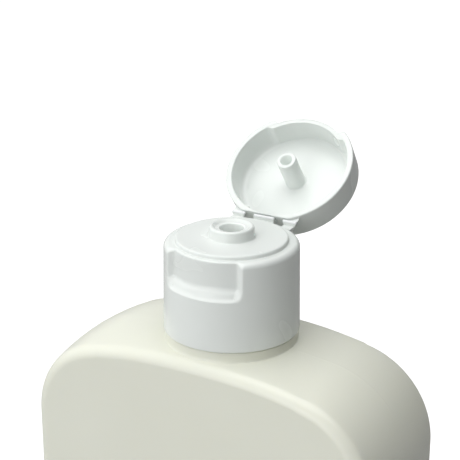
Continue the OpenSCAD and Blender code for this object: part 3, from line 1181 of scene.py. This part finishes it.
@dataclass
class Hinge:
    """The living hinge: three straps in two halves each, and the thin films that join them."""

    gap: float = 0.05
    thick: float = 0.36
    length: float = 1.5
    flat_in: float = 0.53
    root: float = 0.7
    mid_w: float = 5.2
    mid_reach: float = 0.83
    side_in: float = 4.9
    side_w: float = 3.4
    side_reach: float = 2.4
    taper: float = 0.45
    film_rows: int = 12
    film_start_deg: float = 184.0
    film_over_deg: float = 8.0
    film_share: float = 0.98

    def spans(self) -> list[tuple[float, float, float]]:
        """Lists each strap's near and far edge along X, and how far its root reaches in."""
        far = self.side_in + self.side_w
        return [
            (-self.mid_w / 2, self.mid_w / 2, self.mid_reach),
            (self.side_in, far, self.side_reach),
            (-far, -self.side_in, self.side_reach),
        ]

    @staticmethod
    def fill(pen: Lathe, width: float) -> bpy.types.Object:
        """Fills a drawn section and extrudes it, and returns the closed piece."""
        bpy.ops.mesh.select_all(action="SELECT")
        bpy.ops.mesh.remove_doubles(threshold=MERGE_MM * MM)
        bpy.ops.mesh.edge_face_add()
        bpy.ops.mesh.extrude_region_move(TRANSFORM_OT_translate={"value": (0, width * MM, 0)})
        Bench.tidy()
        Bench.clear()
        return pen.piece

    def half(self, name: str, width: float, reach: float, root: float) -> bpy.types.Object:
        """Builds the half of one strap that hangs below the hinge line.

        Args:
            name: The new piece's name.
            width: The strap's width.
            reach: How far in from the hinge line its root goes.
            root: How far below the hinge line its root's top lies.

        Returns:
            The closed half, with its section across X and its width along Y.
        """
        inner = -self.gap - self.thick
        foot = -self.length - self.flat_in
        pen = Lathe(name, -reach, -root)
        for y, z in (
            (inner, -root), (inner, -self.gap), (-self.gap, -self.gap), (-self.gap, -self.length),
            (-self.flat_in, foot), (-reach, foot), (-reach, -root),
        ):
            pen.line(y, z)
        return self.fill(pen, width)

    def place(self, piece: bpy.types.Object, low: float, high: float, up: int) -> None:
        """Puts a strap half at the hinge line; up is -1 below it and 1 above it."""
        middle = (low + high) / 2

        def move(p: Vector) -> Vector:
            narrow = 1 - self.taper * min(1.0, abs(p.z) / self.length) * (abs(middle) > self.side_in)
            x = middle + (low + p.y - middle) * narrow
            return Vector((x, HINGE_Y + p.x, HINGE_Z - up * p.z))

        Bench.shape(piece, move)

    def place_film(self, piece: bpy.types.Object, low: float, high: float) -> None:
        """Puts a film round the hinge line, a little narrower than its strap."""
        middle = (low + high) / 2

        def move(p: Vector) -> Vector:
            x = middle + (low + p.y - middle) * self.film_share
            return Vector((x, HINGE_Y + p.x, HINGE_Z + p.z))

        Bench.shape(piece, move)

    @staticmethod
    def join(pieces: list[bpy.types.Object], name: str) -> bpy.types.Object:
        """Joins several closed pieces into one and turns their faces outwards."""
        Bench.clear()
        for piece in pieces:
            piece.select_set(True)
        bpy.context.view_layer.objects.active = pieces[0]
        bpy.ops.object.join()
        joined = bpy.context.object
        joined.name = joined.data.name = name
        Bench.open(joined)
        bpy.ops.mesh.select_all(action="SELECT")
        bpy.ops.mesh.normals_make_consistent(inside=False)
        Bench.clear()
        return joined

    def roots(self, name: str, up: int, root: float) -> bpy.types.Object:
        """Builds the three strap halves on one side of the hinge line, with the lid shut."""
        made = []
        for low, high, reach in self.spans():
            piece = self.half(name, high - low, reach, root)
            self.place(piece, low, high, up)
            made.append(piece)
        return self.join(made, name)

    def films(self) -> bpy.types.Object:
        """Builds the films that bridge the two halves while the lid stands open."""
        inner, outer = self.gap + NEAR_MM, self.gap + self.thick - NEAR_MM
        start = math.radians(self.film_start_deg)
        sweep = -(OPEN_DEG + self.film_over_deg)
        end = start + math.radians(sweep)
        made = []
        for low, high, _ in self.spans():
            pen = Lathe("hinge_film", outer * math.cos(start), outer * math.sin(start))
            pen.arc(0, 0, sweep, self.film_rows)
            pen.line(inner * math.cos(end), inner * math.sin(end))
            pen.arc(0, 0, -sweep, self.film_rows)
            pen.line(outer * math.cos(start), outer * math.sin(start))
            piece = self.fill(pen, high - low)
            self.place_film(piece, low, high)
            made.append(piece)
        return self.join(made, "hinge_film")

    def build(self, plastic: bpy.types.Material, film: bpy.types.Material) -> None:
        """Builds the straps and the films.

        Args:
            plastic: The closure's material.
            film: The films' material.
        """
        below = self.roots("hinge_straps_closure", -1, self.root)
        below.data.materials.append(plastic)
        Bench.finish(below, Body.CLOSURE, Slot.CLOSURE)
        above = self.roots("hinge_straps_lid", 1, 2 * self.gap)
        swing_open(above)
        above.data.materials.append(plastic)
        Bench.finish(above, Body.LID, Slot.CLOSURE)
        films = self.films()
        films.data.materials.append(film)
        Bench.finish(films, None, Slot.CLOSURE)
        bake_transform(films)


@dataclass
class Studio:
    """The camera, the soft lamps, the floor and the plain pale background."""

    aim: tuple[float, float, float] = (0, 0, 162.0)
    azimuth: float = 30.5
    elevation: float = 20.91
    distance: float = 317.9
    turn: float = 0.073
    tilt: float = -0.39
    focal_px: float = 1450.0
    frame_px: float = 460.0
    sky_from: tuple[float, float, float] = (-0.75, -0.2, 0.6)
    sky_low: float = 0.02
    sky_high: float = 0.78
    sky_edge: float = -0.5
    key_at: tuple[float, float, float] = (-0.85, -0.45, 0.65)
    key_size: float = 0.9
    key_watts: float = 1.20
    top_at: tuple[float, float, float] = (0.05, -0.15, 1.1)
    top_size: float = 1.0
    top_watts: float = 6.7
    front_at: tuple[float, float, float] = (-0.15, -1.2, 0.3)
    front_size: float = 0.8
    front_watts: float = 5.21
    lamp_aim: tuple[float, float, float] = (0, 0, 0.13)
    floor_size: float = 8.0
    floor_tone: float = 0.4
    floor_glow: float = 0.8

    def camera(self) -> None:
        """Makes the camera at the photograph's viewing angle."""
        a, e = math.radians(self.azimuth), math.radians(self.elevation)
        back = Vector((math.sin(a) * math.cos(e), -math.cos(a) * math.cos(e), math.sin(e)))
        a, e = math.radians(self.azimuth + self.turn), math.radians(self.elevation + self.tilt)
        view = -Vector((math.sin(a) * math.cos(e), -math.cos(a) * math.cos(e), math.sin(e)))
        data = bpy.data.cameras.new("camera")
        data.sensor_width = 36.0
        data.lens = self.focal_px * data.sensor_width / self.frame_px
        data.clip_start, data.clip_end = 0.01, 20
        camera = bpy.data.objects.new("camera", data)
        camera.location = (Vector(self.aim) + back * self.distance) * MM
        camera.rotation_euler = view.to_track_quat("-Z", "Y").to_euler()
        bpy.context.scene.collection.objects.link(camera)
        bpy.context.scene.camera = camera

    def lamp(self, name: str, at: Sequence[float], size: float, watts: float) -> None:
        """Makes one square soft lamp that faces the closure.

        Args:
            name: The lamp's name.
            at: Its place in metres.
            size: The length of its side in metres.
            watts: Its power.
        """
        data = bpy.data.lights.new(name, "AREA")
        data.size, data.energy = size, watts
        lamp = bpy.data.objects.new(name, data)
        lamp.location = at
        towards = Vector(self.lamp_aim) - Vector(at)
        lamp.rotation_euler = towards.to_track_quat("-Z", "Y").to_euler()
        bpy.context.scene.collection.objects.link(lamp)

    def backdrop(self) -> None:
        """Makes the floor and the world, which look white to the camera."""
        Bench.clear()
        bpy.ops.mesh.primitive_plane_add(size=self.floor_size)
        floor = bpy.context.object
        floor.name = "floor"
        material = bpy.data.materials.new("pale_floor")
        material.use_nodes = True
        hand = Nodes(material.node_tree)
        shader = material.node_tree.nodes["Principled BSDF"]
        shader.inputs["Base Color"].default_value = (*[self.floor_tone] * 3, 1)
        shader.inputs["Roughness"].default_value = 0.9
        path = hand.add("ShaderNodeLightPath")
        glow = hand.math("MULTIPLY", path.outputs["Is Camera Ray"], self.floor_glow)
        shader.inputs["Emission Color"].default_value = (1, 1, 1, 1)
        hand.wire(glow, shader.inputs["Emission Strength"])
        floor.data.materials.append(material)

        world = bpy.data.worlds.new("studio")
        bpy.context.scene.world = world
        world.use_nodes = True
        hand = Nodes(world.node_tree)
        surface = world.node_tree.nodes["Background"]
        path = hand.add("ShaderNodeLightPath")
        seen = path.outputs["Is Camera Ray"]
        ray = hand.add("ShaderNodeTexCoord").outputs["Generated"]
        toward = hand.add("ShaderNodeVectorMath", operation="DOT_PRODUCT")
        hand.wire(ray, toward.inputs[0])
        toward.inputs[1].default_value = Vector(self.sky_from).normalized()
        glow = hand.add("ShaderNodeMapRange", interpolation_type="SMOOTHSTEP")
        glow.inputs["From Min"].default_value = self.sky_edge
        glow.inputs["To Min"].default_value = self.sky_low
        glow.inputs["To Max"].default_value = self.sky_high
        hand.wire(toward.outputs["Value"], glow.inputs["Value"])
        unseen = hand.math("MULTIPLY", glow.outputs[0], hand.math("SUBTRACT", 1.0, seen))
        hand.wire(hand.math("ADD", unseen, seen), surface.inputs["Strength"])
        surface.inputs["Color"].default_value = (1, 1, 1, 1)

    def build(self) -> None:
        """Builds the lamps and the background."""
        self.lamp("key", self.key_at, self.key_size, self.key_watts)
        self.lamp("top", self.top_at, self.top_size, self.top_watts)
        self.lamp("front", self.front_at, self.front_size, self.front_watts)
        self.backdrop()
        bpy.context.scene.view_settings.view_transform = "Standard"


def main() -> None:
    """Builds the studio and the object's pieces in order."""
    logging.basicConfig(level=logging.INFO, format="%(name)s: %(message)s")
    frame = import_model()
    studio = Studio()
    studio.camera()
    plastics = Plastics()
    closure_plastic = plastics.make("closure_plastic", CLOSURE_FINISH)
    Bottle().build(plastics)
    # Painted light: a glowing copy of the closure's plastic for the bores of the orifice and the tube.
    glow = plastics.make("painted_glow_plastic", PAINTED_GLOW_FINISH)
    Closure().build(closure_plastic, glow)
    Lid().build(closure_plastic, glow)
    Hinge().build(closure_plastic, plastics.make("hinge_film", FILM_FINISH))
    ring = frame["nodes"]["sealing_ring"]
    for slot in ring.material_slots:
        slot.material = plastics.make("ring_foam", FOAM_FINISH)
    studio.build()


if __name__ == "__main__":
    main()
